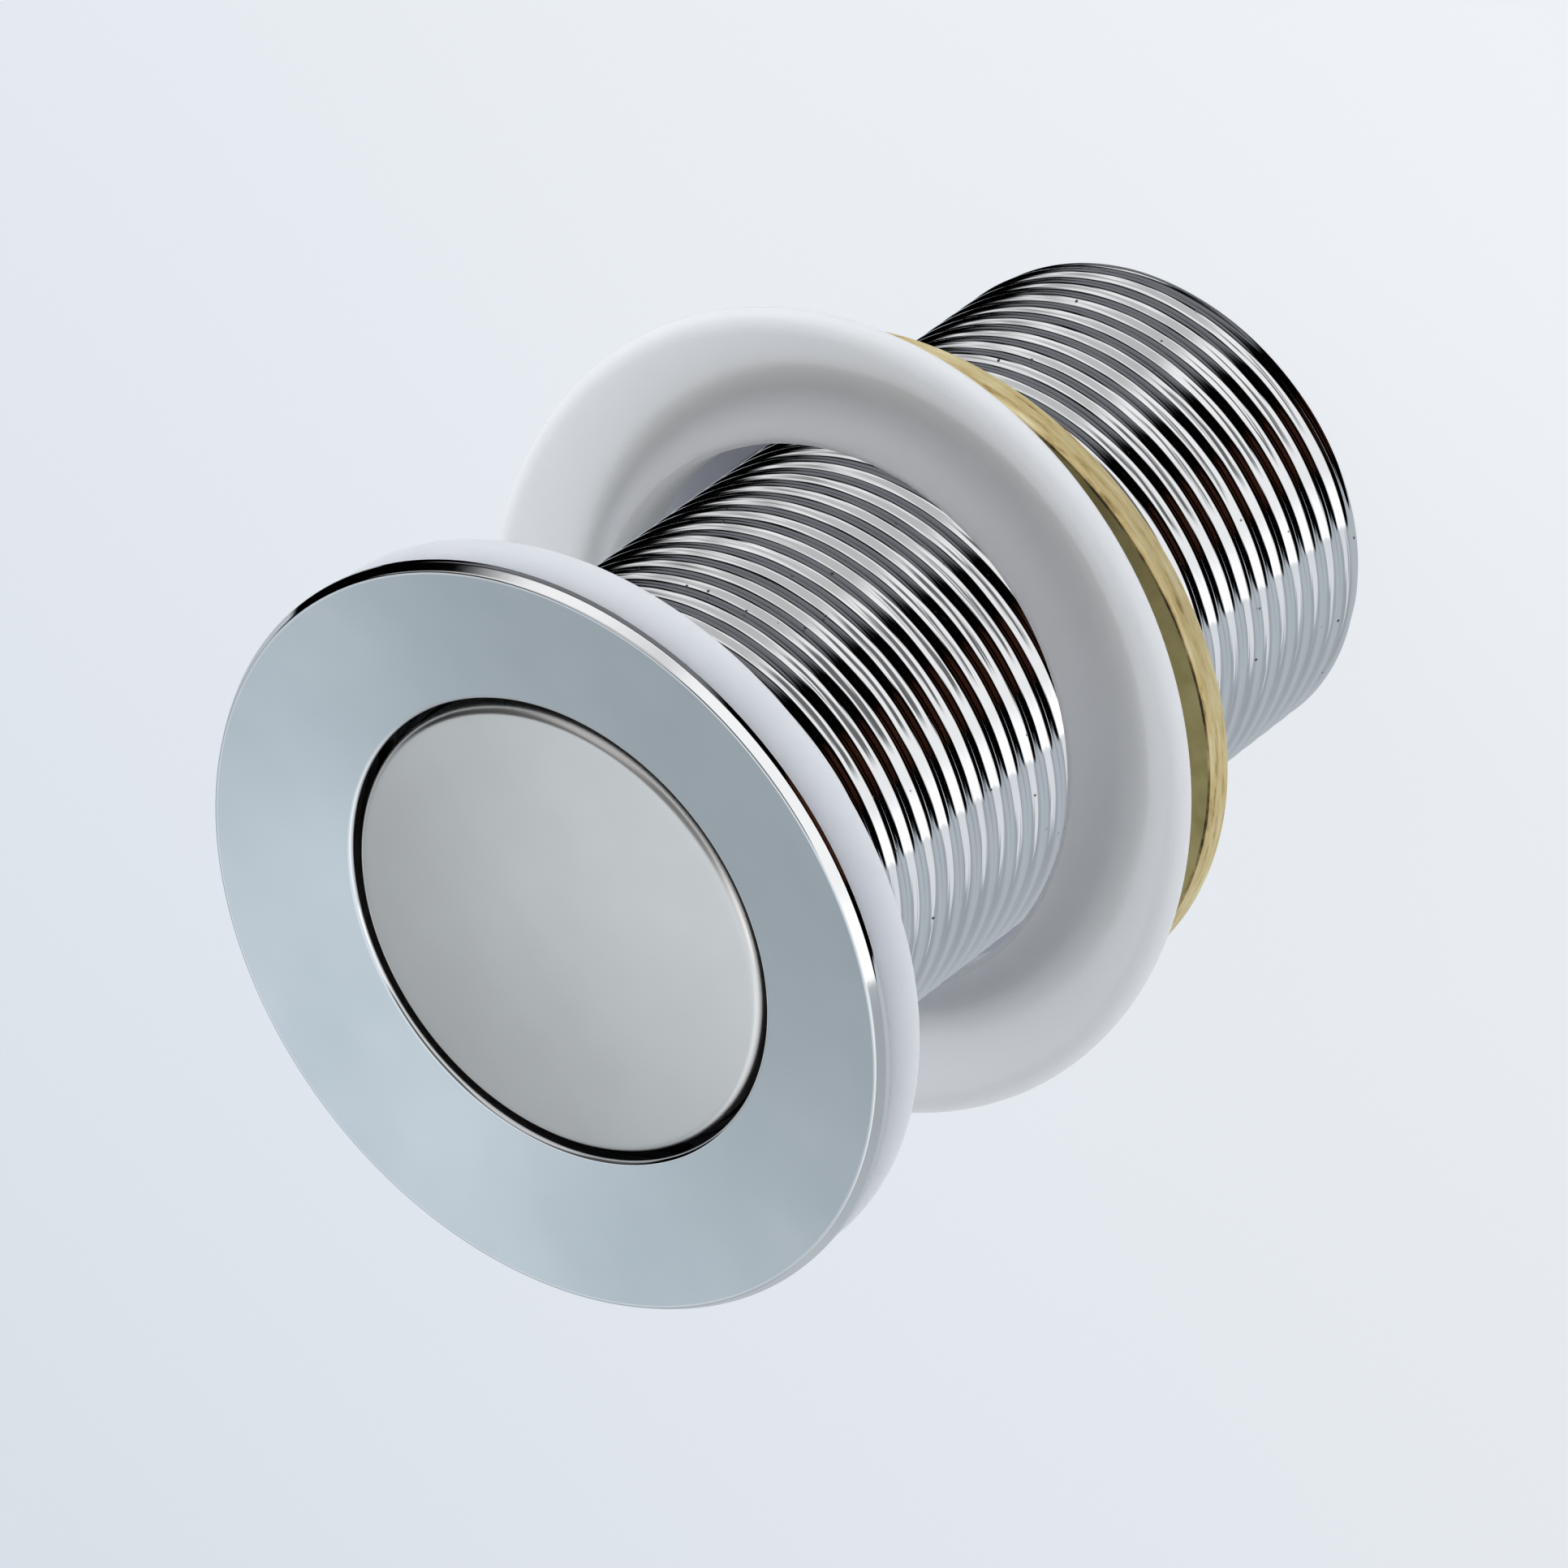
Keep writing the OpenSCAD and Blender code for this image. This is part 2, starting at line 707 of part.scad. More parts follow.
// Section of the washer: a V that stands on its foot, between a lip at the bore and a round rim
module washer_section() {
    lip_edge = washer_rim_round / 2;
    lip = [washer_bore_r + lip_edge, washer_lip_h];
    foot = [washer_foot_r, 0];
    rim = washer_rim_centre;
    valley = washer_valley;
    inner_touch = touch_point(valley, rim, washer_rim_round, 1);
    polygon([
        [washer_bore_r, washer_edge_h],
        [washer_foot_r - washer_foot_w, 0],
        foot,
        touch_point(foot, rim, washer_rim_round, -1),
        rim,
        inner_touch,
        valley,
        lip,
        [washer_bore_r, washer_lip_h - lip_edge]
    ]);
    translate(rim)
        circle(r = washer_rim_round);
    corner_fill(inner_touch, valley, lip, washer_valley_round);
}

// Soft dished washer, loose on the thread: it leans until its foot touches the nut
module basin_washer() {
    color([0.90, 0.90, 0.92])
        translate([washer_shift, 0, washer_pivot_z])
            rotate([0, washer_lean, washer_lean_to])
                translate([0, 0, -washer_pivot_h])
                    rotate_extrude()
                        washer_section();
}

// Brass nut with a round rim towards the basin and a hexagon behind it
module back_nut() {
    hex_z = -nut_rim_h - nut_hex_h;
    color([0.76, 0.62, 0.33])
        translate([0, 0, nut_z])
            difference() {
                union() {
                    rotate_extrude()
                        polygon([
                            [0, -nut_rim_h],
                            [nut_r - nut_chamfer / 2, -nut_rim_h],
                            [nut_r, -nut_rim_h + nut_chamfer / 2],
                            [nut_r, -nut_chamfer],
                            [nut_r - nut_chamfer, 0],
                            [0, 0]
                        ]);
                    rotate([0, 0, nut_angle])
                        intersection() {
                            translate([0, 0, hex_z])
                                cylinder(r = corner_r(nut_af), h = nut_hex_h, $fn = 6);
                            rotate_extrude()
                                polygon([
                                    [0, hex_z],
                                    [nut_af / 2, hex_z],
                                    [corner_r(nut_af), hex_z + 3 * nut_chamfer],
                                    [corner_r(nut_af), -nut_rim_h],
                                    [0, -nut_rim_h]
                                ]);
                        }
                }
                translate([0, 0, hex_z - cut])
                    cylinder(r = nut_bore_r, h = nut_hex_h + nut_rim_h + 2 * cut);
            }
}

waste_body();
flange_gasket();
plug_cap();
plug_carrier();
plug_seal();
plug_lock_nut();
plunger();
follower_pins();
barrel_cap();
barrel_oring();
core_barrel();
cam_drum();
drum_axle();
thrust_washer();
axle_clip();
return_spring();
cross_bridge();
lock_washer();
core_lock_nut();
basin_washer();
back_nut();
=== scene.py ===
import json
import bmesh
import bpy
import numpy as np
from mathutils import Matrix, Vector


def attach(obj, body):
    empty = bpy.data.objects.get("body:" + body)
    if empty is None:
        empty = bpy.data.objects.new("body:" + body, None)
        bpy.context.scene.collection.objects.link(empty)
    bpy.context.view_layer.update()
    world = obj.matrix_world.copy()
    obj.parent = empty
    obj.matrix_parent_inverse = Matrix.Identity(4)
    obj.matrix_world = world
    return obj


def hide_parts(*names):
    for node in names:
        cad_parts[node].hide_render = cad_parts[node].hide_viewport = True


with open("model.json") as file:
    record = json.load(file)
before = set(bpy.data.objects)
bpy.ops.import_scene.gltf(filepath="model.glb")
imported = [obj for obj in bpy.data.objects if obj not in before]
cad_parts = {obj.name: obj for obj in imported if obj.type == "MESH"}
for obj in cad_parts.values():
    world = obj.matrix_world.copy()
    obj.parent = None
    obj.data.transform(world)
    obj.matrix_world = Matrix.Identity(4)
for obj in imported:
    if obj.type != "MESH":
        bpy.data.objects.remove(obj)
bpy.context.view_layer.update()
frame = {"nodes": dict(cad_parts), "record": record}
print("frame loaded:", len(frame["nodes"]), "nodes")

scene = bpy.context.scene
scene.view_settings.view_transform = "Standard"
mm = 0.001  # the pieces and the camera are sized in millimetres, materials and lights in metres


# Rounds the corners of a closed (r, z) outline: each corner becomes an arc that touches both sides,
# at radius / tan(half the corner's angle) from it, with a support point beyond each end of the arc
def roundOutline(corners, rounds, steps, support=0.08):
    p = np.asarray(corners, float)
    radius = np.asarray(rounds, float)
    back = np.roll(p, 1, 0) - p
    ahead = np.roll(p, -1, 0) - p
    back /= np.linalg.norm(back, axis=1, keepdims=True)
    ahead /= np.linalg.norm(ahead, axis=1, keepdims=True)
    half = np.arccos(np.clip((back * ahead).sum(1), -1, 1)) / 2
    reach = radius / np.tan(half)
    middle = back + ahead
    middle /= np.linalg.norm(middle, axis=1, keepdims=True)
    centre = p + middle * (radius / np.sin(half))[:, None]
    first = p + back * reach[:, None] - centre
    last = p + ahead * reach[:, None] - centre
    angle = (np.pi - 2 * half)[:, None, None]
    share = np.linspace(0, 1, steps)[None, :, None]
    arc = np.sin((1 - share) * angle) * first[:, None] + np.sin(share * angle) * last[:, None]
    arc = arc / np.sin(angle) + centre[:, None]
    before = p + back * (reach + support)[:, None]
    after = p + ahead * (reach + support)[:, None]
    return np.concatenate([before[:, None], arc, after[:, None]], 1).reshape(-1, 2)


# Rows of an outline that belong to one rounded corner: its arc and two support points
def rowsPerCorner(shape):
    return shape["arcSteps"] + 2


# Quads between neighbouring rows of a grid whose columns go round; closed joins the last row to the first
def ringFaces(rows, columns, closed=True):
    i = np.arange(rows if closed else rows - 1)[:, None]
    j = np.arange(columns)[None, :]
    up = (i + 1) % rows
    side = (j + 1) % columns
    quads = np.stack([i * columns + j, i * columns + side, up * columns + side, up * columns + j], -1)
    return quads.reshape(-1, 4)


# A surface of revolution: outline point k at angle a lies at (r cos a, r sin a, z)
def revolve(outline, columns):
    a = np.linspace(0, 2 * np.pi, columns, endpoint=False)
    r, z = outline.T[:, :, None]
    return np.stack([r * np.cos(a), r * np.sin(a), z + 0 * a], -1)


# Puts points and groups of faces into a mesh object at the origin, in metres and facing outwards;
# points that are closer than merge become one
def makePiece(name, points, faceGroups, materials, faceMaterial=None, merge=0.0):
    mesh = bpy.data.meshes.new(name)
    faces = sum((group.tolist() for group in faceGroups), [])
    mesh.from_pydata((points.reshape(-1, 3) * mm).tolist(), [], faces)
    for material in materials:
        mesh.materials.append(material)
    if faceMaterial is not None:
        mesh.polygons.foreach_set("material_index", faceMaterial.astype(np.int32))
    mesh.update()
    work = bmesh.new()
    work.from_mesh(mesh)
    if merge:
        bmesh.ops.remove_doubles(work, verts=work.verts, dist=merge * mm)
        bmesh.ops.dissolve_degenerate(work, edges=work.edges, dist=merge * mm)
    bmesh.ops.recalc_face_normals(work, faces=work.faces)
    work.to_mesh(mesh)
    work.free()
    mesh.polygons.foreach_set("use_smooth", np.ones(len(mesh.polygons), bool))
    mesh.update()
    piece = bpy.data.objects.new(name, mesh)
    scene.collection.objects.link(piece)
    return piece


# Says where a piece belongs: the body that carries it and the node that it stands for, which it hides
def settle(piece, body, node):
    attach(piece, body)
    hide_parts(node)
    print("made", piece.name, len(piece.data.polygons), "faces")
    return piece


# Materials: small helpers that add a node, link or set its sockets, and give back what it puts out

def newMaterial(name, metallic=0.0):
    material = bpy.data.materials.new(name)
    material.use_nodes = True
    tree = material.node_tree
    shader = tree.nodes["Principled BSDF"]
    shader.inputs["Metallic"].default_value = metallic
    return material, tree, shader


def addNode(tree, kind, inputs=None, **settings):
    node = tree.nodes.new(kind)
    for key, value in settings.items():
        setattr(node, key, value)
    for key, value in (inputs or {}).items():
        if isinstance(value, bpy.types.NodeSocket):
            tree.links.new(value, node.inputs[key])
        else:
            node.inputs[key].default_value = value
    return node


def objectPoint(tree):
    return addNode(tree, "ShaderNodeTexCoord").outputs["Object"]


def stretch(tree, where, scale):
    return addNode(tree, "ShaderNodeMapping", {"Vector": where, "Scale": scale}).outputs["Vector"]


def noise(tree, where, scale, detail=3.0, rough=0.55):
    inputs = {"Vector": where, "Scale": scale, "Detail": detail, "Roughness": rough}
    return addNode(tree, "ShaderNodeTexNoise", inputs).outputs["Fac"]


# Carries a value from one range to another, in a straight line or with soft ends
def between(tree, value, low, high, outLow, outHigh, kind="LINEAR"):
    inputs = {"Value": value, "From Min": low, "From Max": high, "To Min": outLow, "To Max": outHigh}
    return addNode(tree, "ShaderNodeMapRange", inputs, interpolation_type=kind).outputs["Result"]


def ramp(tree, value, stops):
    node = addNode(tree, "ShaderNodeValToRGB", {"Fac": value})
    elements = node.color_ramp.elements
    while len(elements) < len(stops):
        elements.new(0.5)
    for element, (place, colour) in zip(elements, stops):
        element.position = place
        element.color = (*colour, 1)
    return node.outputs["Color"]


def mixColour(tree, share, one, other):
    return addNode(tree, "ShaderNodeMix", {0: share, 6: one, 7: other}, data_type="RGBA").outputs[2]


def bump(tree, shader, height, strength, distance):
    node = addNode(tree, "ShaderNodeBump", {"Height": height, "Strength": strength, "Distance": distance})
    tree.links.new(node.outputs["Normal"], shader.inputs["Normal"])


noiseSpan = (0.3, 0.7)  # where nearly all of a noise lies
grainDetail = 4.0
grainDepth = 0.0002


# Colour that drifts from a dark to a light tone with a broad noise
def drift(tree, where, dark, light, cloud):
    return ramp(tree, noise(tree, where, cloud), list(zip(noiseSpan, (dark, light))))


# Fine noise that sets the roughness and a slight relief
def grainSkin(tree, shader, where, grain, rough, relief):
    fine = noise(tree, where, grain, grainDetail)
    tree.links.new(between(tree, fine, *noiseSpan, *rough), shader.inputs["Roughness"])
    bump(tree, shader, fine, relief, grainDepth)


# Metal whose brightness and roughness drift with a broad and a fine noise
def metal(name, dark, light, cloud, grain, rough, relief):
    material, tree, shader = newMaterial(name, metallic=1.0)
    where = objectPoint(tree)
    tree.links.new(drift(tree, where, dark, light, cloud), shader.inputs["Base Color"])
    grainSkin(tree, shader, where, grain, rough, relief)
    return material


# Brass with a painted reflection of the white washer inside a radius from the axis: a pale grey-lavender
# ring, not metal, that fades out to bare brass
def brassWithPaintedReflection(name, dark, light, cloud, grain, rough, relief, reflectionTone, reflectionR, bareR):
    material, tree, shader = newMaterial(name)
    where = objectPoint(tree)
    flat = addNode(tree, "ShaderNodeVectorMath", {0: where, 1: (1.0, 1.0, 0.0)}, operation="MULTIPLY")
    radius = addNode(tree, "ShaderNodeVectorMath", {0: flat.outputs["Vector"]}, operation="LENGTH")
    bare = between(tree, radius.outputs["Value"], reflectionR, bareR, 0.0, 1.0)
    tint = mixColour(tree, bare, (*reflectionTone, 1), drift(tree, where, dark, light, cloud))
    tree.links.new(tint, shader.inputs["Base Color"])
    tree.links.new(bare, shader.inputs["Metallic"])
    grainSkin(tree, shader, where, grain, rough, relief)
    return material


# Moulded material whose colour drifts a little, with a fine skin; glow is the share of light that
# goes into it and spreads below its skin, as far as depth
def moulded(name, dark, light, cloud, grain, rough, relief, glow=0.0, depth=0.016):
    material, tree, shader = newMaterial(name)
    where = objectPoint(tree)
    tree.links.new(drift(tree, where, dark, light, cloud), shader.inputs["Base Color"])
    grainSkin(tree, shader, where, grain, rough, relief)
    shader.inputs["Subsurface Weight"].default_value = glow
    shader.inputs["Subsurface Radius"].default_value = (1.0, 1.0, 1.0)
    shader.inputs["Subsurface Scale"].default_value = depth
    return material


# Plated thread: fine ridges that run round the tail bend its reflections, and a few specks stay dull
plating = {"dark": (0.78, 0.79, 0.81), "light": (0.84, 0.85, 0.87), "cloud": 120, "rough": 0.06,
           "ridges": (70.0, 70.0, 2400.0), "ridgeDetail": 2.0, "ridgeDepth": 0.00003,
           "speckCells": 420.0, "speckEdge": (0.04, 0.07), "speckTone": (0.12, 0.12, 0.13), "speckRough": 0.5}


def platedThread(name, look):
    material, tree, shader = newMaterial(name, metallic=1.0)
    where = objectPoint(tree)
    cells = addNode(tree, "ShaderNodeTexVoronoi", {"Vector": where, "Scale": look["speckCells"]})
    speck = between(tree, cells.outputs["Distance"], *look["speckEdge"], 1.0, 0.0)
    clean = drift(tree, where, look["dark"], look["light"], look["cloud"])
    tint = mixColour(tree, speck, clean, (*look["speckTone"], 1))
    rough = between(tree, speck, 0.0, 1.0, look["rough"], look["speckRough"])
    tree.links.new(tint, shader.inputs["Base Color"])
    tree.links.new(rough, shader.inputs["Roughness"])
    ridges = noise(tree, stretch(tree, where, look["ridges"]), 1.0, look["ridgeDetail"])
    bump(tree, shader, ridges, 1.0, look["ridgeDepth"])
    return material


# Rough brass with streaks that run round the axis, from dark grooves to bare metal
streaking = {"metallic": 0.45, "streaks": (160.0, 160.0, 1300.0), "streakDetail": 5.0, "streakRough": 0.65,
             "grain": 1500, "rough": (0.42, 0.6), "relief": 0.6, "depth": 0.0001}


def streaked(name, look, stops):
    material, tree, shader = newMaterial(name, look["metallic"])
    where = objectPoint(tree)
    stretched = stretch(tree, where, look["streaks"])
    streaks = noise(tree, stretched, 1.0, look["streakDetail"], look["streakRough"])
    rough = between(tree, noise(tree, where, look["grain"]), *noiseSpan, *look["rough"])
    tree.links.new(ramp(tree, streaks, stops), shader.inputs["Base Color"])
    tree.links.new(rough, shader.inputs["Roughness"])
    bump(tree, shader, streaks, look["relief"], look["depth"])
    return material


chromeThread = platedThread("chromeThread", plating)
chromeBright = metal("chromeBright", dark=(0.84, 0.85, 0.87), light=(0.90, 0.91, 0.92),
                     cloud=90, grain=900, rough=(0.03, 0.06), relief=0.01)
satinFace = metal("satinFace", dark=(0.66, 0.715, 0.745), light=(0.79, 0.825, 0.855),
                  cloud=45, grain=140, rough=(0.24, 0.28), relief=0.002)
satinPlug = metal("satinPlug", dark=(0.755, 0.735, 0.715), light=(0.835, 0.815, 0.795),
                  cloud=55, grain=140, rough=(0.27, 0.31), relief=0.002)
steel = metal("steel", dark=(0.58, 0.59, 0.61), light=(0.68, 0.69, 0.71),
              cloud=250, grain=1400, rough=(0.2, 0.32), relief=0.05)
turnedBrass = metal("turnedBrass", dark=(0.70, 0.54, 0.26), light=(0.78, 0.62, 0.32),
                    cloud=200, grain=1400, rough=(0.2, 0.3), relief=0.05)

castBrass = {"dark": (0.40, 0.33, 0.13), "light": (0.56, 0.47, 0.22), "cloud": 250, "grain": 1200,
             "rough": (0.34, 0.5), "relief": 0.2}
rawBrass = metal("rawBrass", **castBrass)
# the nut's front face: the pale ring round its bore is painted reflection of the white washer, lighter than
# its shade
faceBrass = brassWithPaintedReflection("faceBrass", **castBrass, reflectionTone=(0.72, 0.72, 0.79), reflectionR=0.0245, bareR=0.0262)
rimBrass = streaked("rimBrass", streaking,
                    [(0.30, (0.30, 0.19, 0.06)), (0.42, (0.78, 0.60, 0.27)), (0.70, (1.0, 0.90, 0.56))])
# a streaked band painted nearly black along the front face's rounded outer edge: painted shade at the crease
creaseShadeBrass = streaked("creaseShadeBrass", streaking,
                     [(0.36, (0.05, 0.03, 0.01)), (0.50, (0.34, 0.24, 0.09)), (0.62, (0.72, 0.56, 0.26))])

softSkin = {"cloud": 60, "grain": 1400, "rough": (0.38, 0.5), "relief": 0.04, "glow": 0.9}
whiteRubber = moulded("whiteRubber", dark=(0.71, 0.74, 0.83), light=(0.77, 0.79, 0.88), **softSkin)
washerRubber = moulded("washerRubber", dark=(0.88, 0.91, 1.0), light=(0.92, 0.945, 1.0), **softSkin)
blackRubber = moulded("blackRubber", dark=(0.02, 0.02, 0.022), light=(0.035, 0.035, 0.037),
                      cloud=200, grain=1400, rough=(0.45, 0.6), relief=0.06)
whiteAcetal = moulded("whiteAcetal", dark=(0.80, 0.80, 0.77), light=(0.86, 0.86, 0.83),
                      cloud=150, grain=1400, rough=(0.4, 0.5), relief=0.04)

nodeFinish = {"turned_brass": turnedBrass, "black_rubber": blackRubber, "steel": steel,
              "white_acetal": whiteAcetal, "chrome": chromeThread, "satin_chrome": satinPlug,
              "white_rubber": whiteRubber, "raw_brass": rawBrass}
for subpart in frame["record"]["subparts"]:
    slots = frame["nodes"][subpart["node"]].data.materials
    slots.clear()
    slots.append(nodeFinish[subpart["material_slot"]])
print("finishes set")


# Waste body: flange, throat, bore and a helical thread on the tail
body = {
    "columns": 176, "rowsPerTurn": 12, "arcSteps": 7, "merge": 0.0005,
    "pitch": 2.309, "crest": 20.95, "depth": 0.6, "threadTop": 79.0,
    "tailChamfer": 0.6, "endInset": 0.6,
    "flangeR": 31.5, "rimLow": 81.0, "bevelLow": 81.45, "bevelW": 0.5, "top": 82.4,
    "dish": 2.25, "opening": 19.5, "throat": 77.2,
    "upperBore": 17.75, "ledgeTop": 32.0, "lowerBore": 16.75, "outletTop": 22.0, "outlet": 17.5,
    # one for each corner of the outline, from under the flange to the tail's end
    "rounds": (0.05, 0.1, 0.35, 0.2, 0.4, 0.2, 0.3, 0.1, 0.15, 0.15, 0.1, 0.25, 0.05),
}


# Slope of the dished face: its depth over its width
def dishSlope(shape):
    return shape["dish"] / (shape["flangeR"] - shape["opening"])


# Height of the flange's underside at a radius: it falls from the rim as steeply as the face does
def flangeUnder(shape, r):
    return shape["rimLow"] - dishSlope(shape) * (shape["flangeR"] - r)


# Thread: row k climbs one pitch in a turn, z = pitch (k / rowsPerTurn + a / 2 pi), held between the tail's
# ends. The radius is the crest less a cosine wave as deep as the thread, and the chamfer cuts it at the end.
# The last column joins the first one of a row that is a turn higher
def threadGrid(shape):
    n, columns, pitch = shape["rowsPerTurn"], shape["columns"], shape["pitch"]
    a = np.linspace(0, 2 * np.pi, columns, endpoint=False)[None, :]
    turns = a / (2 * np.pi)
    rows = int(np.ceil(shape["threadTop"] / pitch * n))
    k = np.arange(-n, rows + 1)[:, None]
    z = np.clip(pitch * (k / n + turns), 0, shape["threadTop"])
    drop = shape["depth"] * (0.5 - 0.5 * np.cos(2 * np.pi * (z / pitch - turns)))
    r = np.minimum(shape["crest"] - drop, shape["crest"] - shape["tailChamfer"] + z)
    points = np.stack([r * np.cos(a), r * np.sin(a), z], -1)
    low = np.arange(len(k) - 1)[:, None] * columns + np.arange(columns - 1)[None, :]
    inner = np.stack([low, low + 1, low + columns + 1, low + columns], -1).reshape(-1, 4)
    first = np.arange(len(k) - 1 - n) * columns
    last = first + columns - 1
    seam = np.stack([last, first + n * columns, first + (n + 1) * columns, last + columns], -1)
    return points, np.concatenate([inner, seam])


# Body: the rounded outline, turned round the axis, runs from the thread's top ring over the flange and
# down the bore to the thread's bottom ring
def wasteSkin(shape):
    columns, crest, lipR = shape["columns"], shape["crest"], shape["opening"]
    corners = [
        (crest, flangeUnder(shape, crest)),
        (shape["flangeR"], shape["rimLow"]),
        (shape["flangeR"], shape["bevelLow"]),
        (shape["flangeR"] - shape["bevelW"], shape["top"] - dishSlope(shape) * shape["bevelW"]),
        (lipR, shape["top"] - shape["dish"]),
        (lipR, shape["throat"]),
        (shape["upperBore"], shape["throat"] - (lipR - shape["upperBore"])),
        (shape["upperBore"], shape["ledgeTop"]),
        (shape["lowerBore"], shape["ledgeTop"]),
        (shape["lowerBore"], shape["outletTop"]),
        (shape["outlet"], shape["outletTop"]),
        (shape["outlet"], 0.0),
        (crest - shape["tailChamfer"] - shape["endInset"], 0.0),
    ]
    plain = revolve(roundOutline(corners, shape["rounds"], shape["arcSteps"]), columns)
    thread, threadFaces = threadGrid(shape)
    skin = np.concatenate([thread[-1:], plain, thread[:1]])
    skinFaces = ringFaces(len(skin), columns, closed=False)
    points = np.concatenate([thread.reshape(-1, 3), skin.reshape(-1, 3)])
    row = np.arange(len(skin) - 1)
    faceRow = 4 * rowsPerCorner(shape)  # the dished face is the two rows after the fourth corner
    boreRow = 6 * rowsPerCorner(shape) + 1  # past the sixth corner the bore is plated as the thread is
    finish = np.select([row < faceRow, row < faceRow + 2, row < boreRow], [1, 2, 1], 0)
    faceFinish = np.concatenate([np.zeros(len(threadFaces), int), np.repeat(finish, columns)])
    return makePiece("wasteSkin", points, [threadFaces, skinFaces + len(thread) * columns],
                     [chromeThread, chromeBright, satinFace], faceFinish, shape["merge"])


settle(wasteSkin(body), "waste", "waste_body")


# Gasket: a soft ring under the flange
gasket = {"columns": 192, "arcSteps": 6, "bore": 21.25, "outer": 31.2, "seat": 76.4, "gap": 0.03,
          "rounds": (0.15, 0.5, 0.12, 0.1)}


# A flat seat below and the flange's slope above, less the gap, turned round the axis
def gasketRing(shape):
    bore, outer, seat, gap = shape["bore"], shape["outer"], shape["seat"], shape["gap"]
    corners = [(bore, seat), (outer, seat),
               (outer, flangeUnder(body, outer) - gap), (bore, flangeUnder(body, bore) - gap)]
    outline = roundOutline(corners, shape["rounds"], shape["arcSteps"])
    points = revolve(outline, shape["columns"])
    return makePiece("gasketRing", points, [ringFaces(len(outline), shape["columns"])], [whiteRubber])


settle(gasketRing(gasket), "waste", "flange_gasket")


# Plug: a shallow dome whose edge rolls over into a short skirt
plug = {"columns": 192, "domeRows": 40, "edgeRows": 12, "radius": 18.9, "edgeZ": 80.1, "rise": 1.6,
        "edgeRound": 0.9, "bottom": 77.9, "skirtTop": 0.4, "skirtEdge": 0.15,
        "inner": 17.9, "innerEdge": 0.1, "ceiling": 79.2, "poleShare": 0.004, "poleR": 0.07}


# The dome's radius follows from its chord and rise, (radius^2 + rise^2) / 2 rise; its rounded edge is
# the circle that touches dome and skirt, and a point on the axis closes the dome and the ceiling
def plugDome(shape):
    columns, radius, rise, roundR = shape["columns"], shape["radius"], shape["rise"], shape["edgeRound"]
    bottom, ceiling, inner = shape["bottom"], shape["ceiling"], shape["inner"]
    skirtEdge, innerEdge = shape["skirtEdge"], shape["innerEdge"]
    domeR = (radius**2 + rise**2) / (2 * rise)
    domeZ = shape["edgeZ"] + rise - domeR
    shoulder = radius - roundR
    reach = domeR - roundR
    shoulderZ = domeZ + np.sqrt(reach**2 - shoulder**2)
    tilt = np.arcsin(shoulder / reach)
    t = np.linspace(shape["poleShare"], 1, shape["domeRows"]) * tilt
    dome = np.stack([domeR * np.sin(t), domeZ + domeR * np.cos(t)], 1)
    s = np.linspace(tilt, np.pi / 2, shape["edgeRows"])[1:]
    edge = np.stack([shoulder + roundR * np.sin(s), shoulderZ + roundR * np.cos(s)], 1)
    skirt = np.array([(radius, bottom + shape["skirtTop"]), (radius, bottom + skirtEdge),
                      (radius - skirtEdge, bottom), (inner + innerEdge, bottom),
                      (inner, bottom + innerEdge), (inner, ceiling - innerEdge),
                      (inner - innerEdge, ceiling), (shape["poleR"], ceiling)])
    outline = np.concatenate([dome, edge, skirt])
    rings = revolve(outline, columns).reshape(-1, 3)
    points = np.concatenate([rings, [[0, 0, domeZ + domeR], [0, 0, ceiling]]])
    j = np.arange(columns)
    side = (j + 1) % columns
    low = (len(outline) - 1) * columns
    top = np.stack([np.full(columns, len(rings)), j, side], -1)
    base = np.stack([np.full(columns, len(rings) + 1), low + side, low + j], -1)
    faces = [ringFaces(len(outline), columns, closed=False), top, base]
    return makePiece("plugDome", points, faces, [satinPlug])


settle(plugDome(plug), "plug", "plug_cap")


nutFace = 34.0  # height of the nut's front, on which the washer rests

# Basin washer: a soft dished ring, loose on the thread, that leans against the nut
washer = {"columns": 192, "arcSteps": 9, "support": 0.1, "bore": 22.25, "lipH": 6.6, "lipEdge": 0.55,
          "edgeH": 1.0, "footIn": 23.05, "footOut": 28.0, "valley": (26.7, 2.25),
          "outer": 32.96, "rimTop": 6.75, "rimRound": 1.1,
          "rounds": (0.3, 0.8, 0.8, 1.0, 1.0, 2.0, 0.25, 0.25),
          "lean": 7.0, "leanTo": -46.0, "shift": 0.65}


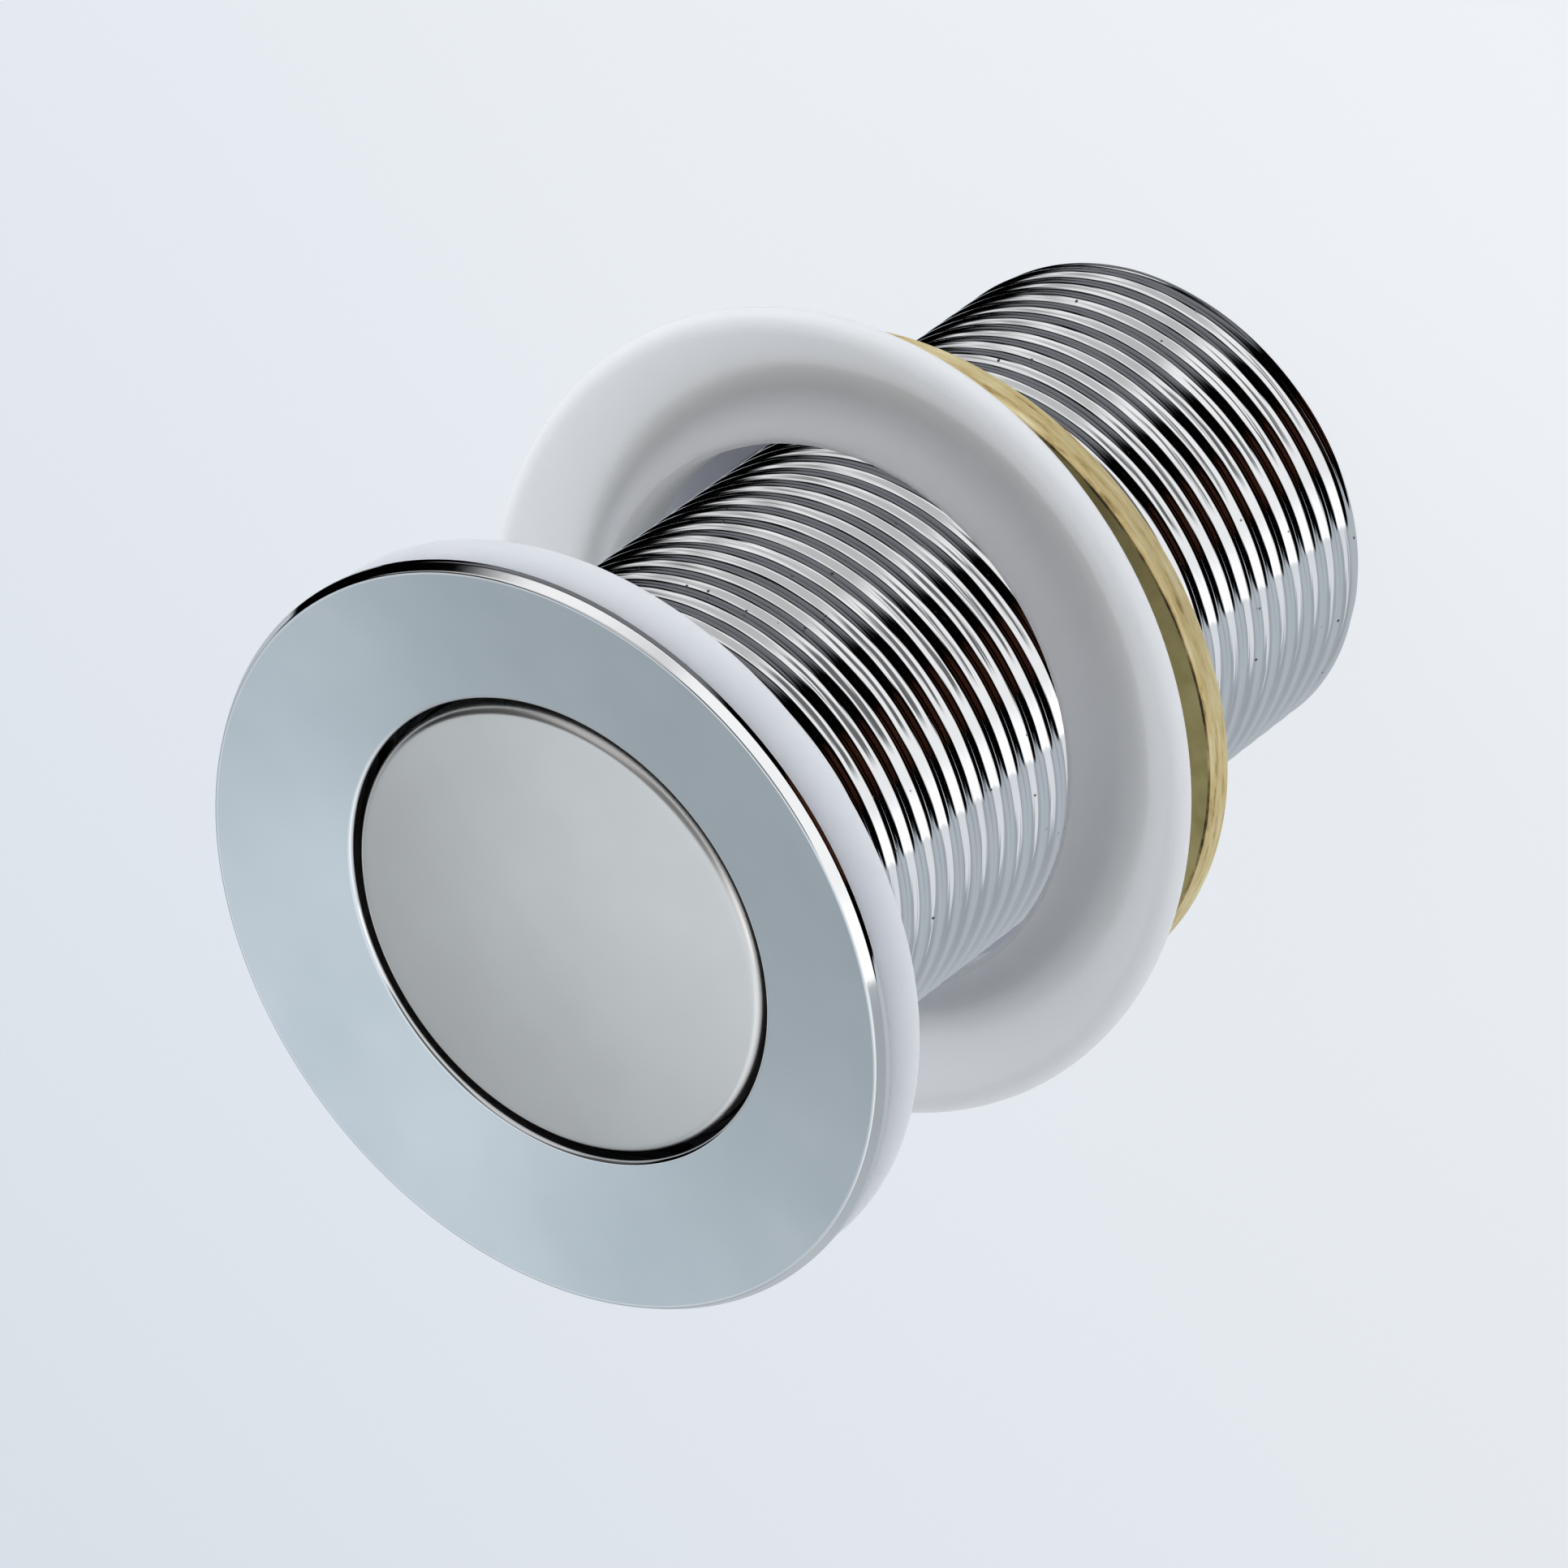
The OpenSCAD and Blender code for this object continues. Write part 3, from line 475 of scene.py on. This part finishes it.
# Outline: a V on a flat foot, from the lip at the bore to the round end of its outer wall; then the ring
# is turned by the lean about the middle of its bore and set down on the nut's face
def washerRing(shape):
    bore, lipH, lipEdge, edgeH = shape["bore"], shape["lipH"], shape["lipEdge"], shape["edgeH"]
    rim = np.array([shape["outer"], shape["rimTop"]]) - shape["rimRound"]
    wall = rim - np.array(shape["valley"])
    wall /= np.linalg.norm(wall)
    side = np.array([-wall[1], wall[0]])
    corners = [(bore, edgeH), (shape["footIn"], 0.0), (shape["footOut"], 0.0),
               rim + shape["rimRound"] * (wall - side), rim + shape["rimRound"] * (wall + side),
               shape["valley"], (bore + lipEdge, lipH), (bore, lipH - lipEdge)]
    outline = roundOutline(corners, shape["rounds"], shape["arcSteps"], shape["support"])
    points = revolve(outline, shape["columns"]).reshape(-1, 3)
    lean = np.radians(shape["lean"])
    to = np.radians(shape["leanTo"])
    pivot = np.array([0, 0, (lipH + edgeH) / 2])
    turn = Matrix.Rotation(lean, 3, Vector((-np.sin(to), np.cos(to), 0)))
    points = (points - pivot) @ np.array(turn).T
    points += [shape["shift"], 0, nutFace + pivot[2] * np.cos(lean) + shape["footOut"] * np.sin(lean)]
    return makePiece("washerRing", points, [ringFaces(len(outline), shape["columns"])], [washerRubber])


settle(washerRing(washer), "washer", "basin_washer").visible_glossy = False


# Back nut: a round rim in front of a low hexagon
nut = {"columns": 240, "arcSteps": 5, "rim": 29.05, "rimH": 2.2, "bore": 21.0,
       "apothem": 23.0, "hexH": 3.3, "cornerAt": 36.0, "chamfer": 0.4,
       "boreEdge": 0.1, "rimBackEdge": 0.15, "hexTop": (0.01, 0.2), "hexFoot": 0.02,
       "backInset": 0.3, "backEdge": 0.2}


# Radius of a hexagon at each angle: the apothem over the cosine of the angle from the flat's middle
def hexRadius(a, apothem, turn):
    step = np.pi / 3
    off = (a - turn + step / 2) % step - step / 2
    return apothem / np.cos(off)


# Nut: rings from the front's bore over the rim, then hexagon rings that a cone turns off towards the
# back (the smaller radius of hexagon and cone), then the flat back to the bore
def nutSkin(shape):
    columns, bore, apothem, c = shape["columns"], shape["bore"], shape["apothem"], shape["chamfer"]
    rimBack = nutFace - shape["rimH"]
    hexBack = rimBack - shape["hexH"]
    perCorner = rowsPerCorner(shape)
    square = [(bore, nutFace), (shape["rim"], nutFace), (shape["rim"], rimBack), (bore, rimBack)]
    rounds = (shape["boreEdge"], c, shape["rimBackEdge"], shape["boreEdge"])
    rimLine = roundOutline(square, rounds, shape["arcSteps"])[:3 * perCorner]
    a = np.linspace(0, 2 * np.pi, columns, endpoint=False)[None, :]
    flat = hexRadius(a, apothem, np.radians(shape["cornerAt"] + 30))  # a flat's middle is 30 past a corner
    corner = apothem / np.cos(np.pi / 6)
    start, below = shape["hexTop"]
    z = np.array([rimBack - start, rimBack - below, hexBack + 3 * c, hexBack + 2 * c, hexBack + c,
                  hexBack + shape["hexFoot"]])[:, None]
    cone = corner - np.maximum(hexBack + 3 * c - z, 0) / (3 * c) * (corner - apothem)
    r = np.minimum(flat, cone)
    hexPoints = np.stack([r * np.cos(a), r * np.sin(a), z + 0 * a], -1)
    backLine = np.array([(apothem - shape["backInset"], hexBack), (bore + shape["backEdge"], hexBack),
                         (bore, hexBack + shape["backEdge"])])
    points = np.concatenate([revolve(rimLine, columns), hexPoints, revolve(backLine, columns)])
    row = np.arange(len(points))
    # front face, the painted dark shade line at its rounded edge, the turned rim, and the rest as cast
    finish = np.select([row < perCorner, row < perCorner + 2, row < 2 * perCorner + 4], [2, 3, 1], 0)
    return makePiece("nutSkin", points, [ringFaces(len(points), columns)],
                     [rawBrass, rimBrass, faceBrass, creaseShadeBrass], np.repeat(finish, columns))


settle(nutSkin(nut), "nut", "back_nut").visible_glossy = False


# Camera: placed by the fit to the photo's outlines, with the focal length and frame in pixels
camera = {"place": (0.0, -649.47, 675.54), "focal": 14318.1, "frame": 1932.0, "sensor": 36.0,
          "right": (-0.59438, -0.55771, -0.57937), "down": (-0.80418, 0.41096, 0.42942),
          "ahead": (-0.0014, 0.72116, -0.69277), "clip": (0.01, 20.0)}


def setCamera(shape):
    lens = bpy.data.cameras.new("photoCamera")
    lens.sensor_fit = "HORIZONTAL"
    lens.sensor_width = shape["sensor"]
    lens.lens = shape["focal"] / shape["frame"] * shape["sensor"]
    lens.clip_start, lens.clip_end = shape["clip"]
    holder = bpy.data.objects.new("photoCamera", lens)
    scene.collection.objects.link(holder)
    turn = Matrix((Vector(shape["right"]), -Vector(shape["down"]), -Vector(shape["ahead"]))).transposed()
    holder.matrix_world = Matrix.Translation(Vector(shape["place"]) * mm) @ turn.to_4x4()
    scene.camera = holder


setCamera(camera)


# Floor: pale, a little darker towards the bottom of the picture; it glows by itself, and where the
# camera sees it a share is left for shadows
paleFloor = {"half": 4.0, "z": -0.0002, "far": (0.83, 0.855, 0.89), "near": (0.68, 0.73, 0.79),
             "span": (-0.06, 0.19), "glow": 1.2, "seenGlow": 0.8}


def floorMaterial(shape):
    material, tree, shader = newMaterial("paleFloor")
    tree.nodes.remove(shader)
    place = addNode(tree, "ShaderNodeSeparateXYZ", {0: objectPoint(tree)})
    share = between(tree, place.outputs["Y"], *shape["span"], 0.0, 1.0)
    tint = ramp(tree, share, [(0.0, shape["far"]), (1.0, shape["near"])])
    matt = addNode(tree, "ShaderNodeBsdfDiffuse", {"Color": tint})
    glow = addNode(tree, "ShaderNodeEmission", {"Color": tint, "Strength": shape["glow"]})
    path = addNode(tree, "ShaderNodeLightPath")
    glowShare = between(tree, path.outputs["Is Camera Ray"], 0.0, 1.0, 1.0, shape["seenGlow"])
    mix = addNode(tree, "ShaderNodeMixShader", {0: glowShare, 1: matt.outputs[0], 2: glow.outputs[0]})
    tree.links.new(mix.outputs[0], tree.nodes["Material Output"].inputs["Surface"])
    return material


def setFloor(shape):
    half, z = shape["half"], shape["z"]
    mesh = bpy.data.meshes.new("floor")
    corners = [(-half, -half, z), (half, -half, z), (half, half, z), (-half, half, z)]
    mesh.from_pydata(corners, [], [(0, 1, 2, 3)])
    mesh.materials.append(floorMaterial(shape))
    floor = bpy.data.objects.new("floor", mesh)
    scene.collection.objects.link(floor)
    floor.visible_glossy = False


# Lamps: round soft lights that all point at the middle of the part
lampTarget = (0, 0, 0.04)
lamps = {
    "keyLamp": {"place": (0.55, -0.08, 0.34), "size": 0.5, "power": 0.9},
    "fillLamp": {"place": (0.44, -0.44, 0.24), "size": 0.5, "power": 0.5},
    "backLamp": {"place": (0.45, 0.33, 0.12), "size": 0.4, "power": 0.8},
}


def setLamp(name, shape):
    light = bpy.data.lights.new(name, "AREA")
    light.shape = "DISK"
    light.size = shape["size"]
    light.energy = shape["power"]
    lamp = bpy.data.objects.new(name, light)
    scene.collection.objects.link(lamp)
    place = Vector(shape["place"])
    turn = (Vector(lampTarget) - place).to_track_quat("-Z", "Y").to_matrix()
    lamp.matrix_world = Matrix.Translation(place) @ turn.to_4x4()
    lamp.visible_glossy = False


# Sky: each band is (from, to, value before, value after) along the height, the side (x), the back (y)
# or an axis of its own
sky = {
    "groundAxis": (0.684, -0.729, 0.0), "groundLift": (0.6, 0.95, 0.0, -0.35),
    "groundEdge": (-0.15, -0.2, 0.0, 1.0), "groundTone": (0.39, 0.91, 0.43, 0.86),
    "groundFoot": (0.2, -0.3, 0.0, 0.14), "groundColour": (0.86, 0.94, 1.0),
    "lightEdge": (-0.2, -0.15, 0.0, 1.0), "lightBack": (0.5, 0.35, 0.0, 1.0),
    "lightHeight": (-0.02, 0.12, 0.0, 1.0), "lightColour": (1.0, 1.0, 1.0),
    "stripSide": (-0.5, -0.75, 0.0, 0.42), "stripHeight": (0.15, 0.25, 0.0, 1.0),
    "windowHeight": (0.40, 0.48, 0.0, 0.85), "windowLeft": (-0.38, -0.22, 0.0, 1.0),
    "windowRight": (0.62, 0.35, 0.0, 1.0),
    "paneSide": (0.45, 0.62, 0.0, 0.42), "paneHeight": (0.16, 0.30, 0.0, 1.0),
    "backPane": (-0.2, 0.08, 0.0, 0.5), "backPaneHeight": (0.08, 0.16, 0.0, 1.0),
    "footHeight": (-0.08, -0.3, 0.0, 1.0), "footSide": (0.27, 0.42, 0.0, 0.2),
    "footBack": (0.32, 0.15, 0.0, 1.0), "footColour": (0.9, 0.93, 1.0),
    "brownAxis": (-0.25, -0.68, -0.69), "brownEdge": (0.972, 0.988, 0.0, 0.04),
    "brownColour": (1.0, 0.34, 0.2),
    "roundLight": (0.0, 0.5, 1.66, 0.06), "roundColour": (0.935, 0.96, 1.0),
    "seenColour": (0.80, 0.83, 0.85),
}


def setSky(shape):
    world = bpy.data.worlds.new("studio")
    scene.world = world
    world.use_nodes = True
    tree = world.node_tree
    tree.nodes.clear()
    way = addNode(tree, "ShaderNodeTexCoord").outputs["Generated"]

    def along(axis):
        node = addNode(tree, "ShaderNodeVectorMath", {0: way, 1: axis}, operation="DOT_PRODUCT")
        return node.outputs["Value"]

    def band(value, key):
        return between(tree, value, *shape[key], kind="SMOOTHSTEP")

    def combine(operation, values):
        total = values[0]
        for value in values[1:]:
            node = addNode(tree, "ShaderNodeMath", {0: total, 1: value}, operation=operation)
            total = node.outputs["Value"]
        return total

    def times(*values):
        return combine("MULTIPLY", values)

    def plus(*values):
        return combine("ADD", values)

    def glow(key, strength):
        inputs = {"Color": (*shape[key], 1), "Strength": strength}
        return addNode(tree, "ShaderNodeBackground", inputs).outputs[0]

    def choose(share, one, other):
        return addNode(tree, "ShaderNodeMixShader", {0: share, 1: one, 2: other}).outputs[0]

    height = along((0.0, 0.0, 1.0))
    side = along((1.0, 0.0, 0.0))
    back = along((0.0, 1.0, 0.0))
    # what the metal mirrors: a pale ground that reaches higher in front, and above it a wide soft light
    # that a window in front and two panes dim, with a grey foot at one side and a faint brown spot below
    level = plus(along(shape["groundAxis"]), between(tree, height, *shape["groundLift"]))
    groundTone = plus(between(tree, height, *shape["groundTone"]), band(height, "groundFoot"))
    ground = times(band(level, "groundEdge"), groundTone)
    window = times(band(height, "windowHeight"), band(side, "windowLeft"), band(side, "windowRight"))
    pane = times(band(side, "paneSide"), band(height, "paneHeight"))
    backPane = times(band(back, "backPane"), band(height, "backPaneHeight"))
    clear = between(tree, plus(window, pane, backPane), 0.0, 1.0, 1.0, 0.0)
    softLight = times(band(level, "lightEdge"), band(back, "lightBack"), band(height, "lightHeight"), clear)
    strip = times(band(side, "stripSide"), band(height, "stripHeight"))
    foot = times(band(height, "footHeight"), band(side, "footSide"), band(back, "footBack"))
    brown = band(along(shape["brownAxis"]), "brownEdge")
    mirror = glow("groundColour", ground)
    others = {"lightColour": plus(softLight, strip), "footColour": foot, "brownColour": brown}
    for key, strength in others.items():
        mirror = addNode(tree, "ShaderNodeAddShader", {0: mirror, 1: glow(key, strength)}).outputs[0]
    # soft light comes from all round, and less of it from straight above
    plain = glow("roundColour", band(height, "roundLight"))
    path = addNode(tree, "ShaderNodeLightPath")
    unseen = choose(path.outputs["Is Glossy Ray"], plain, mirror)
    final = choose(path.outputs["Is Camera Ray"], unseen, glow("seenColour", 1.0))
    addNode(tree, "ShaderNodeOutputWorld", {"Surface": final})


setFloor(paleFloor)
setSky(sky)
for lampName, lampShape in lamps.items():
    setLamp(lampName, lampShape)
print("stage set")

bpy.context.view_layer.update()
